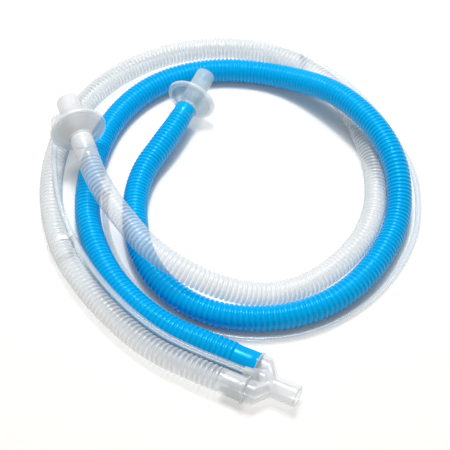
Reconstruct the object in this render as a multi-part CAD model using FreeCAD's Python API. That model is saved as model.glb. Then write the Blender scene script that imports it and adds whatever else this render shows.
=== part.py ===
import FreeCAD, Part
import math
import os

V = FreeCAD.Vector

# Breathing circuit with two corrugated limbs, lying coiled on a table (millimetres).
# The origin is the middle of the patient port's mouth. +X runs out of the port, +Z is up.

# Resting height
PORT_HEIGHT = 14.5          # the Y-piece's axes above the table
TABLE = -PORT_HEIGHT

# Fits
SLIP = 0.05                 # radial room between a cuff and the stub inside it
SEAT = 0.10                 # radial room between the small line and its sockets
HOLD = 0.15                 # radial room between a clip and the limb
LINE_HOLD = 0.30            # radial room between a clip and the small line, which bends inside it

# Y-piece
PORT_R = 11.0
PORT_BORE_R = 7.5
PORT_LENGTH = 25.7
LEG_START = 38.0
LEG_SPACING = 31.0
LEG_R = 11.5
LEG_WALL = 2.0
LIP_R = 14.0
LIP_LENGTH = 2.5
LIP_FACE = 49.4
STUB_R = 11.0
STUB_LENGTH = 22.0

# Pressure boss on the Y-piece
BOSS_RISE = 7.1
BOSS_MOUTH = 57.5
BOSS_R = 4.4
BOSS_SHOULDER_R = 6.3
BOSS_SOCKET_DEPTH = 12.0
BOSS_PASSAGE_R = 1.4

# Patient cuffs
CUFF_R = 12.5
CUFF_LENGTH = 26.0
CUFF_SHOULDER = 2.0

# Corrugated limbs and the small line
INSPIRATORY_R = 13.5
EXPIRATORY_R = 12.5
INSPIRATORY_WALL = 2.9
EXPIRATORY_WALL = 2.4
LINE_R = 3.5
LINE_BORE_R = 2.0

# Machine connectors: bell with a nozzle through it
BELL_DEPTH = 15.0
BELL_WALL = 2.0
COLLAR_LENGTH = 2.0
COLLAR_R = 12.6
RIM_BAND = 5.0
RIM_THICKNESS = 3.2
CONNECTOR_BORE_R = 9.2
INNER_STUB_LENGTH = 14.0

INSPIRATORY_RIM_R = 28.0
INSPIRATORY_NOZZLE_R = 11.2
INSPIRATORY_NOZZLE_ROOT_R = 12.0
INSPIRATORY_NOZZLE_LENGTH = 36.5

EXPIRATORY_RIM_R = 29.5
EXPIRATORY_NOZZLE_ROOT_R = 12.3
EXPIRATORY_NOZZLE_MOUTH_R = 13.3
EXPIRATORY_NOZZLE_LENGTH = 41.0
EXPIRATORY_SOCKET_R = 11.0
EXPIRATORY_SOCKET_DEPTH = 22.0
MACHINE_CUFF_LENGTH = 24.0

# Line clips
CLIP_WIDTH = 6.0
CLIP_WALL = 1.5
CLIP_OPENING = 96.0         # degrees left open towards the table
LINE_CAP_OPENING = 100.0

# Line end connector
END_SOCKET_R = 4.9
END_SOCKET_LENGTH = 9.0
END_BODY_LENGTH = 12.0
END_BODY_R = 4.2
END_BORE_R = 2.1
END_FLANGE_R = 5.0
END_FLANGE_LENGTH = 2.4

# Routes: x, y and height above the table of each corner point
INSPIRATORY_ROUTE = (
    (-75.4, 15.5, 14.5), (-103, 15.5, 14.5), (-149, 16, 13.5), (-196, 28.5, 13.5),
    (-244, 54, 13.5), (-296, 105, 13.5), (-331, 183, 13.5), (-341, 257, 13.5),
    (-321, 323, 13.5), (-269, 372, 13.5), (-196, 393, 14), (-113, 371, 41),
    (-33, 322, 38.5), (4, 257, 14), (6, 183, 13.5), (-12, 121, 13.5),
    (-57, 72, 13.5), (-130, 45, 13.5), (-213, 74, 13.5), (-273, 167, 14),
    (-266.1, 250.8, 24), (-267.6, 283.7, 26.9),
)
EXPIRATORY_ROUTE = (
    (-75.4, -15.5, 14.5), (-103, -15.5, 14.5), (-149, -13, 12.5), (-194, 0, 12.5),
    (-243, 21.5, 12.5), (-296, 55, 12.5), (-344, 112, 12.5), (-374, 177, 12.5),
    (-384, 245, 12.5), (-372, 308, 12.5), (-340, 363, 12.5), (-287, 405, 12.5),
    (-224, 424, 12.5), (-154, 412, 12.5), (-94, 367, 12.5), (-44, 304, 12.5),
    (-19, 236, 12.5), (-26, 166, 12.5), (-62, 104, 12.5), (-116, 71, 30),
    (-188, 66, 51), (-246, 99, 47), (-293.6, 129, 52.1), (-317.2, 153.4, 52.7),
)
LINE_ROUTE = (
    (-47.5, 0, 21.6), (-78, 0, 21.6), (-112, -0.5, 21.6), (-152, 1.5, 23),
    (-196, 14, 25), (-240, 35, 24.5), (-272, 57, 22.5), (-300, 78, 23.5),
    (-325, 103, 29), (-346, 130, 30), (-363, 157, 30.5), (-382, 184, 31),
    (-401, 210, 18), (-396, 240, 3.5), (-394, 292, 3.5), (-373, 342, 3.5),
    (-337, 386, 3.5), (-289, 418.5, 3.5), (-240, 435.5, 5), (-194, 437.5, 9),
    (-147, 432, 3.5), (-103, 412, 3.5), (-60, 378, 3.5), (-17, 340, 3.5),
    (9, 297, 3.5), (26, 246, 3.5), (27, 192, 3.5), (15, 137, 3.5),
    (-19, 80, 3.5), (-74, 43, 3.5), (-133, 32, 3.5), (-193, 45, 3.5),
    (-245, 77, 3.5), (-283, 121.5, 4), (-298.5, 156, 5.5),
)
LOWER_CLIP_AT = (-298, 62)
UPPER_CLIP_AT = (-193, 420)
ARC_SHARE = 0.45


def at_height(point):
    """A route point in the part's frame."""
    return V(point[0], point[1], point[2] + TABLE)


def unit(vector):
    result = V(vector)
    result.normalize()
    return result


def route_wire(route, name, diameter):
    """Straight runs joined by arcs that touch both runs."""
    points = [at_height(p) for p in route]
    runs = [(b - a).Length for a, b in zip(points, points[1:])]
    edges = []
    radii = []
    start = points[0]
    for i in range(1, len(points) - 1):
        before = unit(points[i - 1] - points[i])
        after = unit(points[i + 1] - points[i])
        half_turn = (math.pi - before.getAngle(after)) / 2.0
        reach = ARC_SHARE * min(runs[i - 1], runs[i])
        radius = reach / math.tan(half_turn)
        radii.append(radius)
        enter = points[i] + before * reach
        leave = points[i] + after * reach
        inward = unit(before + after)
        to_middle = radius / math.cos(half_turn) - radius
        edges.append(Part.LineSegment(start, enter).toShape())
        edges.append(Part.Arc(enter, points[i] + inward * to_middle, leave).toShape())
        start = leave
    edges.append(Part.LineSegment(start, points[-1]).toShape())
    wire = Part.Wire(edges)
    print(name, "length %.1f" % wire.Length, "smallest radius %.0f" % min(radii),
          "in diameters %.1f" % (min(radii) / diameter))
    return wire


def tube(wire, outer, inner):
    """A round tube along a wire."""
    first = wire.Edges[0]
    here = first.valueAt(first.FirstParameter)
    along = first.tangentAt(first.FirstParameter)
    solids = []
    for radius in (outer, inner):
        ring = Part.Wire([Part.makeCircle(radius, here, along)])
        solids.append(wire.makePipeShell([ring], True, False))
    result = solids[0].cut(solids[1])
    section = math.pi * (outer ** 2 - inner ** 2)
    print("   volume ratio %.4f" % (result.Volume / (section * wire.Length)))
    return result


def turned(profile, base, along):
    """A solid turned from (distance along, radius) points about an axis."""
    points = [V(a, r, 0) for a, r in profile]
    face = Part.Face(Part.makePolygon(points + [points[0]]))
    solid = face.revolve(V(0, 0, 0), V(1, 0, 0), 360)
    turn = FreeCAD.Rotation(V(1, 0, 0), along)
    solid.Placement = FreeCAD.Placement(base, turn)
    return solid


def rod(start, along, radius, length):
    return Part.makeCylinder(radius, length, start, along)


def frame_at_end(wire):
    """End point of a wire and the direction in which it leaves."""
    last = wire.Edges[-1]
    return last.valueAt(last.LastParameter), unit(last.tangentAt(last.LastParameter))


def nearest_on(wire, place):
    """Point and direction on a wire nearest to a spot seen from above."""
    best = None
    for edge in wire.Edges:
        low, high = edge.FirstParameter, edge.LastParameter
        for k in range(41):
            t = low + (high - low) * k / 40.0
            p = edge.valueAt(t)
            d = math.hypot(p.x - place[0], p.y - place[1])
            if best is None or d < best[0]:
                best = (d, p, unit(edge.tangentAt(t)))
    return best[1], best[2]


def circle_wire(x, y, radius):
    return Part.Wire([Part.makeCircle(radius, V(x, y, 0), V(-1, 0, 0))])


def make_y_piece():
    side = LEG_SPACING / 2.0
    back = V(-1, 0, 0)
    solid = rod(V(0, 0, 0), back, PORT_R, PORT_LENGTH)
    hollow = rod(V(1, 0, 0), back, PORT_BORE_R, PORT_LENGTH + 1)
    for y in (side, -side):
        solid = solid.fuse(Part.makeLoft([circle_wire(-PORT_LENGTH, 0, PORT_R),
                                          circle_wire(-LEG_START, y, LEG_R)], True, True))
        solid = solid.fuse(rod(V(-LEG_START, y, 0), back, LEG_R, LIP_FACE - LEG_START))
        solid = solid.fuse(rod(V(LIP_LENGTH - LIP_FACE, y, 0), back, LIP_R, LIP_LENGTH))
        solid = solid.fuse(rod(V(-LIP_FACE, y, 0), back, STUB_R, STUB_LENGTH))
        bore = STUB_R - LEG_WALL
        hollow = hollow.fuse(Part.makeLoft([circle_wire(-PORT_LENGTH, 0, PORT_BORE_R),
                                            circle_wire(-LEG_START, y, bore)], True, True))
        hollow = hollow.fuse(rod(V(-LEG_START, y, 0), back, bore,
                                 LIP_FACE - LEG_START + STUB_LENGTH + 1))
    mouth = V(-BOSS_MOUTH, 0, BOSS_RISE)
    length = BOSS_MOUTH - PORT_LENGTH
    boss = turned([(0, 0), (0, BOSS_R - 0.4), (0.4, BOSS_R), (9, BOSS_R), (11, BOSS_R + 0.3),
                   (17, BOSS_SHOULDER_R - 0.3), (20, BOSS_SHOULDER_R), (24, BOSS_SHOULDER_R - 0.3),
                   (27.5, BOSS_SHOULDER_R - 1.6), (length - 1.5, 2.4), (length, 1.5), (length, 0)],
                  mouth, V(1, 0, 0))
    solid = solid.fuse(boss)
    solid = solid.cut(hollow)
    socket = rod(mouth - V(1, 0, 0), V(1, 0, 0), LINE_R + SEAT, BOSS_SOCKET_DEPTH + 1)
    passage = rod(mouth, V(1, 0, 0), BOSS_PASSAGE_R, length + 6)
    return solid.cut(socket).cut(passage).removeSplitter()


def make_patient_cuff(y):
    start = V(-LIP_FACE, y, 0)
    back = V(-1, 0, 0)
    solid = rod(start, back, CUFF_R, CUFF_LENGTH)
    solid = solid.cut(rod(start, back, STUB_R + SLIP, CUFF_LENGTH - CUFF_SHOULDER))
    return solid.cut(rod(start, back, STUB_R - LEG_WALL, CUFF_LENGTH + 1))


def bell_outline(rim, nozzle_root):
    """Half section of the bell, from its collar round the rim to the nozzle's root."""
    inner_rim = rim - RIM_BAND
    return [(-BELL_DEPTH - COLLAR_LENGTH, COLLAR_R), (-BELL_DEPTH, COLLAR_R),
            (-BELL_DEPTH * 0.45, COLLAR_R + (inner_rim - COLLAR_R) * 0.62),
            (-RIM_THICKNESS, inner_rim), (-RIM_THICKNESS, rim - 1.2),
            (-RIM_THICKNESS + 0.4, rim - 0.4), (-RIM_THICKNESS + 1.2, rim),
            (-1.2, rim), (-0.4, rim - 0.4), (0, rim - 1.2), (0, inner_rim + 0.3),
            (-RIM_THICKNESS + 0.6, inner_rim - BELL_WALL + 0.3),
            (-BELL_DEPTH * 0.45 + 1.6, COLLAR_R + (inner_rim - COLLAR_R) * 0.62 - BELL_WALL + 0.6),
            (-BELL_DEPTH + 2.6, nozzle_root)]


def make_inspiratory_connector(wire):
    end, along = frame_at_end(wire)
    base = end + along * (BELL_DEPTH + COLLAR_LENGTH)
    nozzle = INSPIRATORY_NOZZLE_R
    stub = INSPIRATORY_R - INSPIRATORY_WALL - SLIP
    low = -BELL_DEPTH - COLLAR_LENGTH
    profile = [(low - INNER_STUB_LENGTH, CONNECTOR_BORE_R), (low - INNER_STUB_LENGTH, stub),
               (low, stub)]
    profile += bell_outline(INSPIRATORY_RIM_R, INSPIRATORY_NOZZLE_ROOT_R)
    profile += [(0, INSPIRATORY_NOZZLE_ROOT_R), (0, nozzle), (INSPIRATORY_NOZZLE_LENGTH - 0.5, nozzle),
                (INSPIRATORY_NOZZLE_LENGTH, nozzle - 0.5),
                (INSPIRATORY_NOZZLE_LENGTH, CONNECTOR_BORE_R)]
    return turned(profile, base, along)


def make_expiratory_connector(wire):
    end, along = frame_at_end(wire)
    base = end + along * (MACHINE_CUFF_LENGTH + BELL_DEPTH + COLLAR_LENGTH)
    low = -BELL_DEPTH - COLLAR_LENGTH
    top = EXPIRATORY_NOZZLE_LENGTH
    stub_length = MACHINE_CUFF_LENGTH - CUFF_SHOULDER
    profile = [(low - stub_length, CONNECTOR_BORE_R), (low - stub_length, STUB_R), (low, STUB_R)]
    profile += bell_outline(EXPIRATORY_RIM_R, EXPIRATORY_NOZZLE_ROOT_R)
    profile += [(top - 0.5, EXPIRATORY_NOZZLE_MOUTH_R), (top, EXPIRATORY_NOZZLE_MOUTH_R - 0.5),
                (top, EXPIRATORY_SOCKET_R), (top - EXPIRATORY_SOCKET_DEPTH, EXPIRATORY_SOCKET_R),
                (top - EXPIRATORY_SOCKET_DEPTH, CONNECTOR_BORE_R)]
    return turned(profile, base, along)


def make_machine_cuff(wire):
    end, along = frame_at_end(wire)
    solid = rod(end, along, EXPIRATORY_R, MACHINE_CUFF_LENGTH)
    reach = MACHINE_CUFF_LENGTH - CUFF_SHOULDER
    solid = solid.cut(rod(end + along * CUFF_SHOULDER, along, STUB_R + SLIP, reach + 1))
    return solid.cut(rod(end - along, along, CONNECTOR_BORE_R, MACHINE_CUFF_LENGTH))


def sector(centre, along, towards, degrees, width, reach):
    """A wedge about an axis, used to open a ring."""
    side = along.cross(towards)
    steps = 6
    points = [V(centre)]
    for k in range(steps + 1):
        a = math.radians(degrees) * (k / float(steps) - 0.5)
        points.append(centre + towards * (reach * math.cos(a)) + side * (reach * math.sin(a)))
    points = [p - along * (width / 2.0 + 1) for p in points]
    face = Part.Face(Part.makePolygon(points + [points[0]]))
    return face.extrude(along * (width + 2))


def make_clip(limb_wire, line_wire, place):
    """A springy strap round the limb with a small cap for the line."""
    centre, along = nearest_on(limb_wire, place)
    line_centre, line_along = nearest_on(line_wire, (centre.x, centre.y))
    half = CLIP_WIDTH / 2.0
    offset = (line_centre - centre)
    line_at = line_centre - along * (offset.dot(along))
    limb_in = EXPIRATORY_R + HOLD
    line_in = LINE_R + LINE_HOLD
    solid = rod(centre - along * half, along, limb_in + CLIP_WALL, CLIP_WIDTH)
    solid = solid.fuse(rod(line_at - line_along * half, line_along, line_in + CLIP_WALL, CLIP_WIDTH))
    solid = solid.cut(rod(centre - along * CLIP_WIDTH, along, limb_in, CLIP_WIDTH * 2))
    solid = solid.cut(rod(line_at - line_along * CLIP_WIDTH, line_along, line_in, CLIP_WIDTH * 2))
    down = unit(V(0, 0, -1) + along * along.z)
    solid = solid.cut(sector(centre, along, down, CLIP_OPENING, CLIP_WIDTH, 40))
    away = line_at - centre
    away = unit(away - along * away.dot(along))
    solid = solid.cut(sector(line_at, along, away, LINE_CAP_OPENING, CLIP_WIDTH, 12))
    pieces = sorted(solid.Solids, key=lambda s: -s.Volume)
    return pieces[0]


def make_line_end(wire):
    end, along = frame_at_end(wire)
    low = -END_SOCKET_LENGTH + 1.0
    top = END_BODY_LENGTH
    seat = LINE_R + SEAT
    profile = [(0, END_BORE_R), (0, seat), (low, seat), (low, END_SOCKET_R - 0.3),
               (low + 0.3, END_SOCKET_R), (1.0, END_SOCKET_R), (2.2, END_BODY_R),
               (top - END_FLANGE_LENGTH, END_BODY_R), (top - END_FLANGE_LENGTH, END_FLANGE_R),
               (top - 0.3, END_FLANGE_R), (top, END_FLANGE_R - 0.3), (top, END_BORE_R)]
    return turned(profile, end, along)


def main():
    os.makedirs("parts", exist_ok=True)
    inspiratory = route_wire(INSPIRATORY_ROUTE, "inspiratory limb", INSPIRATORY_R * 2)
    expiratory = route_wire(EXPIRATORY_ROUTE, "expiratory limb", EXPIRATORY_R * 2)
    line = route_wire(LINE_ROUTE, "pressure line", LINE_R * 2)
    side = LEG_SPACING / 2.0
    nodes = {
        "y_piece": make_y_piece(),
        "inspiratory_patient_cuff": make_patient_cuff(side),
        "expiratory_patient_cuff": make_patient_cuff(-side),
        "inspiratory_limb": tube(inspiratory, INSPIRATORY_R, INSPIRATORY_R - INSPIRATORY_WALL),
        "expiratory_limb": tube(expiratory, EXPIRATORY_R, EXPIRATORY_R - EXPIRATORY_WALL),
        "expiratory_machine_cuff": make_machine_cuff(expiratory),
        "inspiratory_machine_connector": make_inspiratory_connector(inspiratory),
        "expiratory_machine_connector": make_expiratory_connector(expiratory),
        "pressure_line": tube(line, LINE_R, LINE_BORE_R),
        "pressure_line_end": make_line_end(line),
        "lower_line_clip": make_clip(expiratory, line, LOWER_CLIP_AT),
        "upper_line_clip": make_clip(expiratory, line, UPPER_CLIP_AT),
    }
    for name, shape in nodes.items():
        if not shape.isValid() or len(shape.Solids) != 1:
            raise ValueError("%s is not one sound solid" % name)
        box = shape.BoundBox
        print("%-32s volume %9.1f  low %.2f high %.2f" % (name, shape.Volume, box.ZMin, box.ZMax))
        shape.exportStep("parts/%s.step" % name)


main()
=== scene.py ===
import math
import bpy
import numpy as np
from mathutils import Matrix, Vector


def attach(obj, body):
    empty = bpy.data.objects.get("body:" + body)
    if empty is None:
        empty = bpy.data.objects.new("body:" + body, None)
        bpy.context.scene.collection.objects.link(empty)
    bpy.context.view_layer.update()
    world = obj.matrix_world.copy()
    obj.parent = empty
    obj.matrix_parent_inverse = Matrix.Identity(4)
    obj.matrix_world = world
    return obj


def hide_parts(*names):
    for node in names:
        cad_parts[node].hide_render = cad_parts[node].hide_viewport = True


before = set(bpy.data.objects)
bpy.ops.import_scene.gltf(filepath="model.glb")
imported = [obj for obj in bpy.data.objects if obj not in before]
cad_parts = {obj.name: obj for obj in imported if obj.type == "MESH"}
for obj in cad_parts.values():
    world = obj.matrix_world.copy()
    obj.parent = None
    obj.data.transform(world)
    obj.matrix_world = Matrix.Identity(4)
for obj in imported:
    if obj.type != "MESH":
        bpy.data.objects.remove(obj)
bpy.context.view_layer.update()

# Breathing circuit with two corrugated limbs, lying coiled on a table (metres)
MM = 0.001
TABLE = -14.5 * MM
BLUE_R = 13.5 * MM
CLEAR_R = 12.5 * MM
LINE_R = 3.5 * MM
LINE_BORE_R = 2.0 * MM

# Corner points of each route: x, y and height above the table, in millimetres
BLUE_ROUTE = (
    (-75.4, 15.5, 14.5), (-103, 15.5, 14.5), (-149, 16, 13.5), (-196, 28.5, 13.5),
    (-244, 54, 13.5), (-296, 105, 13.5), (-331, 183, 13.5), (-341, 257, 13.5),
    (-321, 323, 13.5), (-269, 372, 13.5), (-196, 393, 14), (-113, 371, 41),
    (-33, 322, 38.5), (4, 257, 14), (6, 183, 13.5), (-12, 121, 13.5),
    (-57, 72, 13.5), (-130, 45, 13.5), (-213, 74, 13.5), (-273, 167, 14),
    (-266.1, 250.8, 24), (-267.6, 283.7, 26.9),
)
CLEAR_ROUTE = (
    (-75.4, -15.5, 14.5), (-103, -15.5, 14.5), (-149, -13, 12.5), (-194, 0, 12.5),
    (-243, 21.5, 12.5), (-296, 55, 12.5), (-344, 112, 12.5), (-374, 177, 12.5),
    (-384, 245, 12.5), (-372, 308, 12.5), (-340, 363, 12.5), (-287, 405, 12.5),
    (-224, 424, 12.5), (-154, 412, 12.5), (-94, 367, 12.5), (-44, 304, 12.5),
    (-19, 236, 12.5), (-26, 166, 12.5), (-62, 104, 12.5), (-116, 71, 30),
    (-188, 66, 51), (-246, 99, 47), (-293.6, 129, 52.1), (-317.2, 153.4, 52.7),
)
LINE_ROUTE = (
    (-47.5, 0, 21.6), (-78, 0, 21.6), (-112, -0.5, 21.6), (-152, 1.5, 23),
    (-196, 14, 25), (-240, 35, 24.5), (-272, 57, 22.5), (-300, 78, 23.5),
    (-325, 103, 29), (-346, 130, 30), (-363, 157, 30.5), (-378.5, 187, 29.3),
    (-396, 206, 22), (-398, 226, 9.5), (-395, 244, 3.5), (-393.6, 292, 3.5), (-373, 342, 3.5),
    (-337, 386, 3.5), (-289, 418.5, 3.5), (-240, 435.5, 5), (-194, 437.5, 9),
    (-147, 432, 3.5), (-103, 412, 3.5), (-60, 378, 3.5), (-17, 340, 3.5),
    (9, 297, 3.5), (26, 246, 3.5), (27, 192, 3.5), (15, 137, 3.5),
    (-19, 80, 3.5), (-74, 43, 3.5), (-133, 32, 3.5), (-193, 45, 3.5),
    (-245, 77, 3.5), (-283, 121.5, 4), (-298.5, 156, 5.5),
)


# Small helpers

def activate(piece):
    bpy.ops.object.select_all(action="DESELECT")
    piece.select_set(True)
    bpy.context.view_layer.objects.active = piece


def apply_all(piece):
    """Apply every modifier in turn."""
    activate(piece)
    for modifier in list(piece.modifiers):
        bpy.ops.object.modifier_apply(modifier=modifier.name)


def smooth(piece, degrees=40):
    activate(piece)
    bpy.ops.object.shade_smooth_by_angle(angle=math.radians(degrees))


def dress(piece, material):
    piece.data.materials.clear()
    piece.data.materials.append(material)


# Hoses and the thin line

def route_curve(name, route):
    curve = bpy.data.curves.new(name, "CURVE")
    curve.dimensions = "3D"
    curve.resolution_u = 24
    spline = curve.splines.new("NURBS")
    spline.points.add(len(route) - 1)
    for point, (x, y, height) in zip(spline.points, route):
        point.co = (x * MM, y * MM, height * MM + TABLE, 1)
    spline.order_u = 3
    spline.use_endpoint_u = True
    piece = bpy.data.objects.new(name, curve)
    bpy.context.scene.collection.objects.link(piece)
    mesh = bpy.data.meshes.new_from_object(piece)
    line = np.array([v.co for v in mesh.vertices], float)
    bpy.data.meshes.remove(mesh)
    bpy.data.objects.remove(piece)
    return line


def stations(line, distances):
    """Place, sideways and upward direction at each distance along a line."""
    steps = np.linalg.norm(np.diff(line, axis=0), axis=1)
    travelled = np.concatenate([[0], np.cumsum(steps)])

    def at(s):
        return np.stack([np.interp(s, travelled, line[:, k]) for k in range(3)], 1)

    middle = at(distances)
    ahead = at(np.clip(distances + 2 * MM, 0, travelled[-1]))
    behind = at(np.clip(distances - 2 * MM, 0, travelled[-1]))
    along = ahead - behind
    along /= np.linalg.norm(along, axis=1)[:, None]
    side = np.cross(along, (0, 0, 1))
    side /= np.linalg.norm(side, axis=1)[:, None]
    up = np.cross(side, along)
    return middle, side, up


def line_length(line):
    return float(np.linalg.norm(np.diff(line, axis=0), axis=1).sum())


def swept(name, line, distances, radii, around, tones, closed=False):
    """A skin of rings along a line, each with its tone; closed joins the last ring to the first."""
    middle, side, up = stations(line, distances)
    turn = np.linspace(0, 2 * math.pi, around, endpoint=False)
    ring = (side[:, None, :] * np.cos(turn)[None, :, None]
            + up[:, None, :] * np.sin(turn)[None, :, None])
    places = (middle[:, None, :] + ring * radii[:, None, None]).reshape(-1, 3)
    count = len(distances)
    faces = []
    for i in range(count if closed else count - 1):
        a, b = i * around, ((i + 1) % count) * around
        for j in range(around):
            k = (j + 1) % around
            faces.append((a + j, b + j, b + k, a + k))
    mesh = bpy.data.meshes.new(name)
    mesh.from_pydata(places.tolist(), [], faces)
    mesh.update()
    piece = bpy.data.objects.new(name, mesh)
    bpy.context.scene.collection.objects.link(piece)
    values = np.repeat(tones, around).astype(np.float32)
    mesh.attributes.new("ridge", "FLOAT", "POINT").data.foreach_set("value", values)
    for polygon in mesh.polygons:
        polygon.use_smooth = True
    return piece


# Share of one pitch, and height of the ridge there
RIDGE = ((0.0, 0.0), (0.14, 0.30), (0.27, 0.84), (0.5, 1.0), (0.73, 0.84), (0.86, 0.30))


def corrugated(name, line, crest, depth, pitches, plain_end, end_share, wall):
    """A corrugated hose: ridges and grooves along a line, plain and a little narrower at the end.

    The pitch is drawn out or pushed together as the (distance, pitch) pairs say.
    """
    total = line_length(line)
    distances, heights = [], []
    s = 0.0
    pitch = pitches[0][1] * MM
    while s + pitch < total - plain_end:
        for share, height in RIDGE:
            distances.append(s + share * pitch)
            heights.append(height)
        s += pitch
        pitch = float(np.interp(s, [p[0] for p in pitches], [p[1] for p in pitches])) * MM
    for k, height in enumerate((0.35, 0.6, 0.72, 0.75, 0.75, 0.75, 0.75, 0.75, 0.75)):
        distances.append(s + (total - s) * k / 8.0)
        heights.append(height)
    distances = np.array(distances)
    heights = np.array(heights)
    near_end = np.clip((distances - (total - 55 * MM)) / (50 * MM), 0, 1)
    # The tone follows the ridge height, painting shade into the grooves, and rises toward the plain end
    tones = np.clip(heights + 0.5 * near_end, 0, 1)
    scale = 1 - (1 - end_share) * near_end * near_end * (3 - 2 * near_end)
    radii = (crest - depth * (1 - heights)) * scale
    # the wall folds back inside at both ends
    distances = np.concatenate([[distances[0]], distances, [distances[-1]]])
    radii = np.concatenate([[radii[0] - wall], radii, [radii[-1] - wall]])
    tones = np.concatenate([[0.3], tones, [1.0]])
    return swept(name, line, distances, radii, 40, tones)


def small_line(name, line, outer, bore):
    """A plain soft tube with its bore."""
    total = line_length(line)
    run = np.linspace(0, total, 1000)
    distances = np.concatenate([run, run[::-1]])
    radii = np.concatenate([np.full(len(run), outer), np.full(len(run), bore)])
    # The bore takes the white high tone, the tube's milky tone and partly a painted highlight along its
    # middle; the outer wall takes the darker tone, painted shade toward its outline
    return swept(name, line, distances, radii, 24, np.repeat((0.0, 1.0), len(run)), closed=True)


# Turned mouldings

def turned(name, outline, base, along, around=96):
    """A moulding turned about an axis from (distance, radius) points in millimetres, going round the wall."""
    bpy.ops.object.select_all(action="DESELECT")
    first = outline[0]
    bpy.ops.mesh.primitive_circle_add(vertices=around, radius=first[1] * MM, location=(0, 0, 0))
    piece = bpy.context.active_object
    piece.name = name
    bpy.ops.object.mode_set(mode="EDIT")
    bpy.ops.mesh.select_all(action="SELECT")
    bpy.ops.transform.translate(value=(0, 0, first[0] * MM))
    before = first
    for a, r in outline[1:]:
        bpy.ops.mesh.extrude_edges_move()
        bpy.ops.transform.translate(value=(0, 0, (a - before[0]) * MM))
        bpy.ops.transform.resize(value=(r / before[1], r / before[1], 1), center_override=(0, 0, a * MM))
        before = (a, r)
    bpy.ops.mesh.select_all(action="DESELECT")
    bpy.ops.mesh.select_non_manifold()
    bpy.ops.mesh.bridge_edge_loops()
    bpy.ops.mesh.select_all(action="SELECT")
    bpy.ops.mesh.normals_make_consistent(inside=False)
    bpy.ops.object.mode_set(mode="OBJECT")
    aim = Vector((0, 0, 1)).rotation_difference(Vector(along)).to_matrix().to_4x4()
    piece.data.transform(Matrix.Translation(Vector(base)) @ aim)
    smooth(piece)
    return piece


def bell(rim, root, nozzle, bore, stub):
    """Outline of a machine connector: stub, collar, cone with a wide rounded rim, and the nozzle."""
    outline = [(-stub, bore), (-stub, 11.05), (-17, 11.05), (-17, 12.9), (-15.6, 12.95), (-15, 12.6)]
    for k in range(1, 8):
        t = k / 8.0
        outline.append((-14.8 + 10.2 * t ** 1.1, 12.5 + (rim - 18.3) * t))
    outline += [(-4.4, rim - 5.5), (-4.9, rim - 5.0), (-5.1, rim - 4.0), (-5.0, rim - 2.6), (-4.5, rim - 1.3),
                (-3.6, rim - 0.4), (-2.4, rim), (-1.3, rim - 0.15), (-0.5, rim - 0.7), (0, rim - 1.7),
                (-0.05, rim - 3.6), (-0.6, rim - 4.8)]
    for k in range(7, 0, -1):
        t = k / 8.0
        outline.append((-12.4 + 11.4 * t ** 1.1, root + 0.5 + (rim - root - 5.6) * t))
    outline += [(-12.2, root + 0.3), (-11.4, root)]
    return outline + nozzle


def part_tones(piece, base, along, rule):
    """Tone of each part of a turned moulding, from its distance along and off the axis in millimetres."""
    places = np.empty(3 * len(piece.data.vertices))
    piece.data.vertices.foreach_get("co", places)
    away = places.reshape(-1, 3) - np.array(base)
    height = away @ np.array(along)
    radius = np.linalg.norm(away - height[:, None] * np.array(along), axis=1)
    values = rule(height / MM, radius / MM).astype(np.float32)
    piece.data.attributes.new("ridge", "FLOAT", "POINT").data.foreach_set("value", values)


# Y-piece

def bar(name, sections, around=72):
    """A round bar square to X through (x, y, z, radius) sections in millimetres."""
    x, y, z, radius = sections[0]
    bpy.ops.object.select_all(action="DESELECT")
    bpy.ops.mesh.primitive_circle_add(vertices=around, radius=radius * MM, fill_type="NGON",
                                      rotation=(0, math.radians(90), 0), location=(x * MM, y * MM, z * MM))
    piece = bpy.context.active_object
    piece.name = name
    bpy.ops.object.transform_apply(location=True, rotation=True, scale=True)
    bpy.ops.object.mode_set(mode="EDIT")
    bpy.ops.mesh.select_all(action="SELECT")
    for next_x, next_y, next_z, next_radius in sections[1:]:
        grow = next_radius / radius
        bpy.ops.mesh.extrude_region()
        bpy.ops.transform.translate(value=((next_x - x) * MM, (next_y - y) * MM, (next_z - z) * MM))
        bpy.ops.transform.resize(value=(1, grow, grow),
                                 center_override=(next_x * MM, next_y * MM, next_z * MM))
        x, y, z, radius = next_x, next_y, next_z, next_radius
    bpy.ops.mesh.select_all(action="SELECT")
    bpy.ops.mesh.normals_make_consistent(inside=False)
    bpy.ops.object.mode_set(mode="OBJECT")
    return piece


PORT_ROOT = -25.7
LEG_START = -38.0
LIP_FACE = -49.4
LEG_SIDE = 15.5
BOSS_RISE = 7.1


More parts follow.
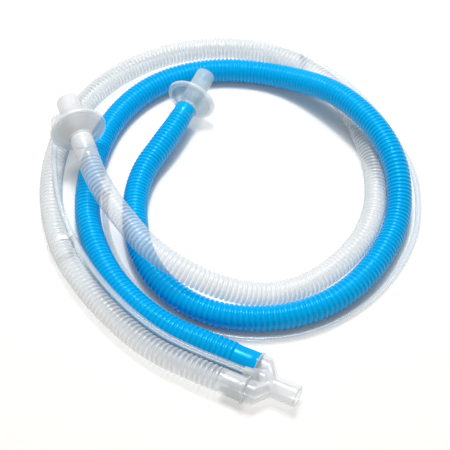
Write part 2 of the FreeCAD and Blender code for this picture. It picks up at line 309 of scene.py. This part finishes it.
def y_moulding():
    """Port, two legs with lips and stubs, and the raised boss that takes the small line."""
    body = bar("y_moulding", [(0, 0, 0, 11.15), (-2.4, 0, 0, 11.2), (-2.9, 0, 0, 11.0),
                              (PORT_ROOT - 1.5, 0, 0, 11.0)])
    added = [bar("web", [(PORT_ROOT - 3, 0, 0, 6.5), (-44, 0, 0, 8.6)]),
             bar("boss", [(PORT_ROOT + 2, 0, 6.6, 3.0), (-29, 0, 6.8, 5.6), (-35, 0, BOSS_RISE, 7.0),
                          (-41, 0, BOSS_RISE, 7.0), (-46, 0, BOSS_RISE, 6.0), (-49.5, 0, BOSS_RISE, 4.9),
                          (-57.5, 0, BOSS_RISE, 4.45)])]
    for y in (LEG_SIDE, -LEG_SIDE):
        added += [bar("leg", [(PORT_ROOT + 1.2, 0, 0, 10.3), (PORT_ROOT, 0, 0, 11.0), (LEG_START, y, 0, 11.6),
                              (LIP_FACE, y, 0, 11.75)]),
                  bar("lip", [(LIP_FACE + 2.5, y, 0, 14.0), (LIP_FACE, y, 0, 14.0)]),
                  bar("stub", [(LIP_FACE + 1, y, 0, 10.95), (-71.4, y, 0, 10.8)])]
    activate(body)
    for piece in added:
        piece.select_set(True)
    bpy.ops.object.join()
    shell = body.modifiers.new("Moulding", "REMESH")
    shell.mode = "VOXEL"
    shell.voxel_size = 0.55 * MM
    soften = body.modifiers.new("Fillets", "SMOOTH")
    soften.factor = 0.5
    soften.iterations = 9
    removed = [bar("first way", [(1, 0, 0, 7.6), (-2, 0, 0, 7.5), (PORT_ROOT - 0.6, 0, 0, 7.5),
                                 (LEG_START, LEG_SIDE, 0, 9.0), (-73, LEG_SIDE, 0, 9.0)]),
               bar("second way", [(-20, 0, 0, 7.1), (PORT_ROOT - 0.8, 0, 0, 7.4),
                                  (LEG_START - 0.2, -LEG_SIDE, 0, 9.0), (-73, -LEG_SIDE, 0, 9.0)]),
               bar("line socket", [(-45.5, 0, BOSS_RISE, 3.55), (-59, 0, BOSS_RISE, 3.55)])]
    for tool in removed:
        cut = body.modifiers.new("Hollow", "BOOLEAN")
        cut.operation = "DIFFERENCE"
        cut.solver = "EXACT"
        cut.object = tool
    apply_all(body)
    for tool in removed:
        bpy.data.objects.remove(tool)
    smooth(body, 45)
    return body


def at_end(line, extra):
    """Base point and direction beyond a line's end."""
    end, before = line[-1], line[-3]
    along = (end - before) / np.linalg.norm(end - before)
    return Vector(end + along * extra), Vector(along)


# Plastics

def node(tree, kind, **inputs):
    made = tree.nodes.new(kind)
    for key, value in inputs.items():
        made.inputs[key.replace("_", " ")].default_value = value
    return made


def cloudiness_group():
    """Slow drifts of tone and fine scuffs of a moulded or extruded plastic."""
    group = bpy.data.node_groups.new("Plastic cloudiness", "ShaderNodeTree")
    interface = group.interface
    for name, value in (("Cloud size", 30.0), ("Scuff size", 900.0)):
        interface.new_socket(name, in_out="INPUT", socket_type="NodeSocketFloat").default_value = value
    for name in ("Cloud", "Scuff"):
        interface.new_socket(name, in_out="OUTPUT", socket_type="NodeSocketFloat")
    enter = group.nodes.new("NodeGroupInput")
    leave = group.nodes.new("NodeGroupOutput")
    place = group.nodes.new("ShaderNodeTexCoord")
    cloud = node(group, "ShaderNodeTexNoise", Detail=3.0, Roughness=0.55)
    scuff = node(group, "ShaderNodeTexNoise", Detail=5.0, Roughness=0.65)
    group.links.new(place.outputs["Object"], cloud.inputs["Vector"])
    group.links.new(place.outputs["Object"], scuff.inputs["Vector"])
    group.links.new(enter.outputs["Cloud size"], cloud.inputs["Scale"])
    group.links.new(enter.outputs["Scuff size"], scuff.inputs["Scale"])
    group.links.new(cloud.outputs["Fac"], leave.inputs["Cloud"])
    group.links.new(scuff.outputs["Fac"], leave.inputs["Scuff"])
    return group


CLOUDINESS = cloudiness_group()


def plastic(name, low, high, roughness, alpha=None, ridge=False, bump=0.05, cloud=35.0, scuff=900.0,
            specular=0.5, cloud_share=0.25, coat=0.0, edge=0.0, far=0.4, tint=(1.0, 1.0, 1.0)):
    """A moulded plastic between two tones, with a drift of tone, scuffs and, through the ridge attribute,
    painted light and shade: shaded grooves and lit crests on hoses, a shaded cone and a lit rim on
    connectors, a white core on the thin line.

    A milky one is given its lowest and highest opacity, is denser toward its outline, fainter on its far wall
    and lets half of the light it stops through to the table.
    """
    material = bpy.data.materials.new(name)
    material.use_nodes = True
    tree = material.node_tree
    shader = tree.nodes["Principled BSDF"]
    shader.inputs["Specular IOR Level"].default_value = specular
    shader.inputs["Coat Weight"].default_value = coat
    shader.inputs["Coat Roughness"].default_value = 0.1
    shader.inputs["Specular Tint"].default_value = (*tint, 1)
    marks = tree.nodes.new("ShaderNodeGroup")
    marks.node_tree = CLOUDINESS
    marks.inputs["Cloud size"].default_value = cloud
    marks.inputs["Scuff size"].default_value = scuff
    drift = tree.nodes.new("ShaderNodeMapRange")
    drift.inputs["From Min"].default_value = 0.3
    drift.inputs["From Max"].default_value = 0.7
    tree.links.new(marks.outputs["Cloud"], drift.inputs["Value"])
    tone = drift.outputs["Result"]
    # Painted light and shade: the ridge attribute darkens hose grooves and connector cones and lightens
    # crests, rims and the thin line's core
    if ridge:
        drift.inputs["To Max"].default_value = cloud_share
        crest = tree.nodes.new("ShaderNodeAttribute")
        crest.attribute_name = "ridge"
        rise = tree.nodes.new("ShaderNodeMath")
        rise.operation = "MULTIPLY_ADD"
        rise.inputs[1].default_value = 1 - cloud_share
        tree.links.new(crest.outputs["Fac"], rise.inputs[0])
        tree.links.new(tone, rise.inputs[2])
        tone = rise.outputs[0]
    colour = tree.nodes.new("ShaderNodeMix")
    colour.data_type = "RGBA"
    colour.inputs["A"].default_value = (*low, 1)
    colour.inputs["B"].default_value = (*high, 1)
    tree.links.new(tone, colour.inputs["Factor"])
    tree.links.new(colour.outputs["Result"], shader.inputs["Base Color"])
    shine = tree.nodes.new("ShaderNodeMapRange")
    shine.inputs["To Min"].default_value = roughness[0]
    shine.inputs["To Max"].default_value = roughness[1]
    tree.links.new(marks.outputs["Scuff"], shine.inputs["Value"])
    tree.links.new(shine.outputs["Result"], shader.inputs["Roughness"])
    if alpha:
        clear = tree.nodes.new("ShaderNodeMapRange")
        clear.inputs["To Min"].default_value = alpha[0]
        clear.inputs["To Max"].default_value = alpha[1]
        tree.links.new(tone, clear.inputs["Value"])
        outline = tree.nodes.new("ShaderNodeLayerWeight")
        outline.inputs["Blend"].default_value = 0.35
        denser = tree.nodes.new("ShaderNodeMath")
        denser.operation = "MULTIPLY_ADD"
        denser.inputs[1].default_value = edge
        tree.links.new(outline.outputs["Facing"], denser.inputs[0])
        tree.links.new(clear.outputs["Result"], denser.inputs[2])
        behind = tree.nodes.new("ShaderNodeNewGeometry")
        share = tree.nodes.new("ShaderNodeMapRange")
        share.inputs["To Min"].default_value = 1.0
        share.inputs["To Max"].default_value = far
        tree.links.new(behind.outputs["Backfacing"], share.inputs["Value"])
        final = tree.nodes.new("ShaderNodeMath")
        final.operation = "MULTIPLY"
        final.use_clamp = True
        tree.links.new(denser.outputs[0], final.inputs[0])
        tree.links.new(share.outputs["Result"], final.inputs[1])
        path = tree.nodes.new("ShaderNodeLightPath")
        shade = tree.nodes.new("ShaderNodeMapRange")
        shade.inputs["To Min"].default_value = 1.0
        shade.inputs["To Max"].default_value = 0.5
        tree.links.new(path.outputs["Is Shadow Ray"], shade.inputs["Value"])
        passed = tree.nodes.new("ShaderNodeMath")
        passed.operation = "MULTIPLY"
        tree.links.new(final.outputs[0], passed.inputs[0])
        tree.links.new(shade.outputs["Result"], passed.inputs[1])
        tree.links.new(passed.outputs[0], shader.inputs["Alpha"])
    relief = tree.nodes.new("ShaderNodeBump")
    relief.inputs["Strength"].default_value = bump
    relief.inputs["Distance"].default_value = 0.0004
    tree.links.new(marks.outputs["Scuff"], relief.inputs["Height"])
    tree.links.new(relief.outputs["Normal"], shader.inputs["Normal"])
    return material


def clip_plastic(clip, line, dense, clear):
    """Milky strip, white only on the stretch next to the thin line and faint on its loop round the line."""
    corners = [clip.matrix_world @ Vector(corner) for corner in clip.bound_box]
    middle = sum(corners, Vector()) / 8
    gap = np.linalg.norm(line - np.array(middle), axis=1)
    grip = clip.matrix_world.inverted() @ Vector(line[int(gap.argmin())])
    material = plastic(clip.name + " plastic", (0.88, 0.90, 0.91), (0.95, 0.96, 0.97), (0.2, 0.3),
                       cloud=60.0)
    tree = material.node_tree
    place = tree.nodes.new("ShaderNodeTexCoord")
    away = tree.nodes.new("ShaderNodeVectorMath")
    away.operation = "DISTANCE"
    away.inputs[1].default_value = grip
    fade = tree.nodes.new("ShaderNodeMapRange")
    fade.inputs["From Min"].default_value = dense
    fade.inputs["From Max"].default_value = dense + 3 * MM
    fade.inputs["To Min"].default_value = 0.95
    fade.inputs["To Max"].default_value = clear
    loop = tree.nodes.new("ShaderNodeMapRange")
    loop.inputs["From Min"].default_value = 4.5 * MM
    loop.inputs["From Max"].default_value = 6 * MM
    loop.inputs["To Min"].default_value = 0.25
    path = tree.nodes.new("ShaderNodeLightPath")
    shade = tree.nodes.new("ShaderNodeMapRange")
    shade.inputs["To Min"].default_value = 1.0
    shade.inputs["To Max"].default_value = 0.3
    tree.links.new(place.outputs["Object"], away.inputs[0])
    tree.links.new(away.outputs["Value"], fade.inputs["Value"])
    tree.links.new(away.outputs["Value"], loop.inputs["Value"])
    tree.links.new(path.outputs["Is Shadow Ray"], shade.inputs["Value"])
    seen = fade.outputs["Result"]
    for share in (loop.outputs["Result"], shade.outputs["Result"]):
        times = tree.nodes.new("ShaderNodeMath")
        times.operation = "MULTIPLY"
        tree.links.new(seen, times.inputs[0])
        tree.links.new(share, times.inputs[1])
        seen = times.outputs[0]
    tree.links.new(seen, tree.nodes["Principled BSDF"].inputs["Alpha"])
    return material


# On the hoses the low tone is painted shade in the grooves and the high tone the lit crests
blue_hose = plastic("Blue hose", (0.0, 0.37, 0.80), (0.0, 0.46, 0.92), (0.14, 0.20),
                    ridge=True, specular=0.8, bump=0.02, tint=(0.10, 0.62, 1.0))
blue_cuff = plastic("Blue cuff", (0.0, 0.37, 0.80), (0.0, 0.44, 0.90), (0.14, 0.22),
                    specular=0.7, tint=(0.15, 0.65, 1.0))
clear_hose = plastic("Milky hose", (0.55, 0.62, 0.67), (0.72, 0.755, 0.78), (0.13, 0.20), (0.26, 0.72),
                     ridge=True, bump=0.0, specular=1.0, edge=0.10, far=0.05)
clear_cuff = plastic("Milky cuff", (0.80, 0.87, 0.91), (0.88, 0.93, 0.95), (0.12, 0.20), (0.30, 0.38),
                     specular=1.0, edge=0.35, far=0.12)
milky = plastic("Milky moulding", (0.76, 0.79, 0.815), (0.84, 0.865, 0.88), (0.08, 0.16), (0.34, 0.44),
                cloud=45.0, specular=1.0, edge=0.45, far=0.12)
sleeve = plastic("Milky sleeve", (0.78, 0.83, 0.86), (0.82, 0.85, 0.87), (0.16, 0.24), (0.0, 0.88),
                 ridge=True, cloud_share=0.08, specular=0.8, edge=0.08, far=0.05)
# Connector mouldings: the low tone is painted shade on the cone and the high tone painted light on the rim
bluish = plastic("Bluish moulding", (0.38, 0.56, 0.67), (0.94, 0.98, 1.0), (0.06, 0.14), (0.38, 0.46),
                 cloud=45.0, ridge=True, cloud_share=0.08, specular=1.0, edge=0.60, far=0.45)
frosted = plastic("Frosted moulding", (0.67, 0.695, 0.72), (0.96, 0.965, 0.97), (0.12, 0.22), (0.84, 0.62),
                  cloud=45.0, ridge=True, cloud_share=0.12, specular=0.8, edge=0.05)
# Thin line: the low tone is painted shade on the outer wall and the high tone partly a painted highlight in
# the bore
soft_tube = plastic("Clear line", (0.66, 0.75, 0.81), (0.94, 0.97, 0.99), (0.08, 0.14), (0.22, 0.50),
                    ridge=True, bump=0.0, cloud=60.0, specular=1.0, coat=1.0, cloud_share=0.06, edge=0.55,
                    far=0.02)


# Camera, floor and lamps

def aimed(piece, place, target):
    piece.location = place
    piece.rotation_euler = (Vector(target) - Vector(place)).to_track_quat("-Z", "Y").to_euler()
    bpy.context.scene.collection.objects.link(piece)
    return piece


def lamp(name, place, size, power, target=(-0.17, 0.2, 0)):
    light = bpy.data.lights.new(name, "AREA")
    light.shape = "SQUARE"
    light.size = size
    light.energy = power
    return aimed(bpy.data.objects.new(name, light), place, target)


view = bpy.data.cameras.new("View")
view.lens = 112.66
view.sensor_width = 36
view.clip_end = 20
bpy.context.scene.camera = aimed(bpy.data.objects.new("View", view),
                                 (0.26564, -0.69215, 1.1346), (-0.16304, 0.17148, -0.0145))


def add_floor():
    bpy.ops.object.select_all(action="DESELECT")
    bpy.ops.mesh.primitive_plane_add(size=12, location=(0, 0, TABLE))
    floor = bpy.context.active_object
    floor.name = "Floor"
    material = bpy.data.materials.new("White paper")
    material.use_nodes = True
    tree = material.node_tree
    shader = tree.nodes["Principled BSDF"]
    shader.inputs["Base Color"].default_value = (0.92, 0.905, 0.88, 1)
    shader.inputs["Roughness"].default_value = 0.9
    shader.inputs["Specular IOR Level"].default_value = 0.1
    seen = tree.nodes.new("ShaderNodeLightPath")
    glow = tree.nodes.new("ShaderNodeEmission")
    glow.inputs["Strength"].default_value = 0.03
    both = tree.nodes.new("ShaderNodeAddShader")
    pick = tree.nodes.new("ShaderNodeMixShader")
    tree.links.new(shader.outputs[0], both.inputs[0])
    tree.links.new(glow.outputs[0], both.inputs[1])
    tree.links.new(seen.outputs["Is Camera Ray"], pick.inputs["Fac"])
    tree.links.new(shader.outputs[0], pick.inputs[1])
    tree.links.new(both.outputs[0], pick.inputs[2])
    tree.links.new(pick.outputs[0], tree.nodes["Material Output"].inputs["Surface"])
    dress(floor, material)


def add_world():
    world = bpy.data.worlds.new("Studio")
    world.use_nodes = True
    bpy.context.scene.world = world
    tree = world.node_tree
    back = tree.nodes["Background"]
    back.inputs["Color"].default_value = (1, 1, 1, 1)
    path = tree.nodes.new("ShaderNodeLightPath")
    strength = tree.nodes.new("ShaderNodeMapRange")
    strength.inputs["To Min"].default_value = 0.20
    strength.inputs["To Max"].default_value = 1.0
    tree.links.new(path.outputs["Is Camera Ray"], strength.inputs["Value"])
    tree.links.new(strength.outputs["Result"], back.inputs["Strength"])


add_floor()
add_world()
KEY_PLACE = (-0.45, 0.77, 2.4)
lamp("Key", KEY_PLACE, 1.3, 36)
lamp("Spark", KEY_PLACE, 0.3, 24)
lamp("Fill", (0.5, -0.9, 1.9), 1.8, 4.5)

bpy.context.scene.view_settings.view_transform = "Standard"

# The circuit

blue_line = route_curve("Blue route", BLUE_ROUTE)
clear_line = route_curve("Clear route", CLEAR_ROUTE)
thin_line = route_curve("Thin route", LINE_ROUTE)

BLUE_PITCH = ((0.0, 5.5), (0.12, 5.0), (0.32, 4.5), (0.90, 4.5), (1.02, 5.5), (1.20, 5.5), (1.30, 4.5))
CLEAR_PITCH = ((0.0, 5.6), (0.40, 4.7), (1.0, 4.7), (1.15, 5.0))
blue_limb = corrugated("blue_limb", blue_line, BLUE_R, 1.35 * MM, BLUE_PITCH, 9 * MM, 0.88, 1.2 * MM)
clear_limb = corrugated("clear_limb", clear_line, CLEAR_R, 1.3 * MM, CLEAR_PITCH, 4 * MM, 1.0, 1.2 * MM)
thin_tube = small_line("thin_line", thin_line, LINE_R, LINE_BORE_R)
dress(blue_limb, blue_hose)
dress(clear_limb, clear_hose)
dress(thin_tube, soft_tube)

CUFF_OUTLINE = [(0.3, 9.6), (0, 9.9), (0, 12.2), (0.3, 12.5), (2.2, 12.6), (2.6, 12.4), (9, 12.35),
                (16, 12.25), (21, 12.2), (23.4, 12.25), (24.6, 12.45), (25.6, 12.4), (26, 12.1), (26, 9.9),
                (25.7, 9.6)]
blue_patient_cuff = turned("blue_patient_cuff", CUFF_OUTLINE, (-49.4 * MM, 15.5 * MM, 0), (-1, 0, 0))
clear_patient_cuff = turned("clear_patient_cuff", CUFF_OUTLINE, (-49.4 * MM, -15.5 * MM, 0), (-1, 0, 0))
dress(blue_patient_cuff, blue_cuff)
dress(clear_patient_cuff, clear_cuff)

# Machine connectors: rim radius, nozzle radius at its root, bore radius and stub length in millimetres
BLUE_RIM = 28.3
CLEAR_RIM = 30.7
BLUE_NOZZLE_R = 11.2
CLEAR_NOZZLE_R = 12.3
GAS_BORE_R = 9.2
BLUE_STUB = 31
CLEAR_STUB = 20
BLUE_STANDOFF = 17 * MM
CLEAR_STANDOFF = 41 * MM


def connector_light_and_shade(rim, nozzle_tone):
    """Painted light and shade: a rim painted bright as if lit, a nozzle between the two tones and a cone
    painted darker as shade.
    """
    return lambda height, radius: np.where(radius > rim, 1.0, np.where(height > 1, nozzle_tone, 0.0))


def sleeve_tones(height, radius):
    """Faint at the hose and denser toward the connector, with nothing seen of the bore."""
    return np.where(radius < 11.6, 0.0, 0.6 + 0.4 * np.clip(height / 12, 0, 1))


def sleeve_outline(rings=7, pitch=3.0):
    """Wall of the clear limb's machine cuff, with low rings."""
    outline = [(0.2, 11.05), (0, 11.3), (0, 11.9), (0.3, 12.1)]
    for ring in range(rings):
        outline += [(1.2 + pitch * ring, 11.95), (1.9 + pitch * ring, 12.25), (2.7 + pitch * ring, 12.4),
                    (3.5 + pitch * ring, 12.25)]
    return outline + [(22.4, 12.1), (23.6, 12.3), (24, 12.1), (24, 11.3), (23.8, 11.05)]


blue_nozzle = [(-6, 11.2), (2, 11.2), (35.6, 11.15), (36.2, 11.0), (36.5, 10.6), (36.4, 10.2), (35.8, 9.8),
               (20, 9.3)]
base, along = at_end(blue_line, BLUE_STANDOFF)
blue_outline = bell(BLUE_RIM, BLUE_NOZZLE_R, blue_nozzle, GAS_BORE_R, BLUE_STUB)
blue_connector = turned("blue_machine_connector", blue_outline, base, along)
part_tones(blue_connector, base, along, connector_light_and_shade(23, 0.35))

clear_nozzle = [(-6, 12.4), (2, 12.5), (40, 13.3), (40.7, 13.15), (41, 12.7), (40.9, 11.6), (40.4, 11.1),
                (19, 11.0), (18.6, 9.4)]
base, along = at_end(clear_line, CLEAR_STANDOFF)
clear_outline = bell(CLEAR_RIM, CLEAR_NOZZLE_R, clear_nozzle, GAS_BORE_R, CLEAR_STUB)
clear_connector = turned("clear_machine_connector", clear_outline, base, along)
part_tones(clear_connector, base, along, connector_light_and_shade(24.5, 0.4))

base, along = at_end(clear_line, 0)
clear_sleeve = turned("clear_machine_cuff", sleeve_outline(), base, along)
part_tones(clear_sleeve, base, along, sleeve_tones)
dress(blue_connector, bluish)
dress(clear_connector, frosted)
dress(clear_sleeve, sleeve)

y_piece = y_moulding()
dress(y_piece, milky)
dress(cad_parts["pressure_line_end"], clear_cuff)
for name, dense, clear in (("lower_line_clip", 14 * MM, 0.16), ("upper_line_clip", 7 * MM, 0.10)):
    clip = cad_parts[name]
    dress(clip, clip_plastic(clip, thin_line, dense, clear))

# What each piece is

STANDS_FOR = (
    (y_piece, "y_piece", "clear_moulding"),
    (blue_limb, "inspiratory_limb", "blue_limb"),
    (clear_limb, "expiratory_limb", "clear_limb"),
    (thin_tube, "pressure_line", "clear_tube"),
    (blue_patient_cuff, "inspiratory_patient_cuff", "blue_limb"),
    (clear_patient_cuff, "expiratory_patient_cuff", "clear_limb"),
    (blue_connector, "inspiratory_machine_connector", "clear_moulding"),
    (clear_connector, "expiratory_machine_connector", "clear_moulding"),
    (clear_sleeve, "expiratory_machine_cuff", "clear_limb"),
)
for piece, name, finish in STANDS_FOR:
    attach(piece, "root")
    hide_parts(name)
